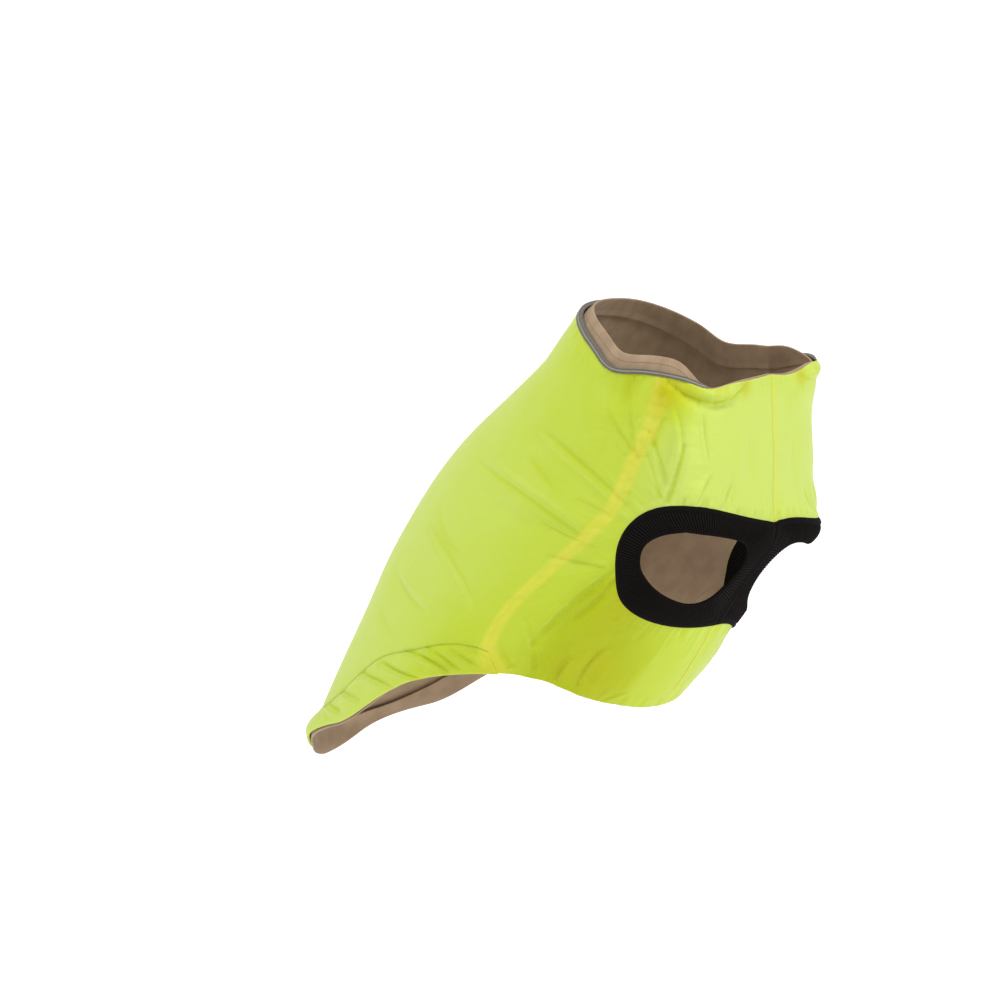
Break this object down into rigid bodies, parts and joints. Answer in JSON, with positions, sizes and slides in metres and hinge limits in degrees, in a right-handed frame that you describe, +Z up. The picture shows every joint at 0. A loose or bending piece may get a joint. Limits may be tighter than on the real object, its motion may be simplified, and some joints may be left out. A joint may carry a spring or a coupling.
{
  "type": "dog jacket",
  "caption": "Pull-on dog jacket of neon yellow padded nylon with black rib armholes, beige lining and grey neck piping, hollow, in its worn shape.",
  "frame": {"origin": "on the lining at the withers, in the middle plane, where the wearer's back carries the jacket", "axes": "+X towards the wearer's chest, +Y towards its left side, +Z up"},
  "size_m": [0.3751, 0.1698, 0.3299],
  "materials": {
    "nylon": "soft sheen woven nylon",
    "rib": "matt rib knit",
    "lining": "matt brushed lining",
    "piping": "dull woven cord"
  },
  "bodies": {
    "root": {"back_panel": "nylon", "hem_casing": "nylon", "side_front_right": "nylon", "side_front_left": "nylon", "armhole_rib_right": "rib", "armhole_rib_left": "rib", "neck_facing": "lining", "rump_facing": "lining", "neck_piping": "piping"}
  },
  "joints": []
}
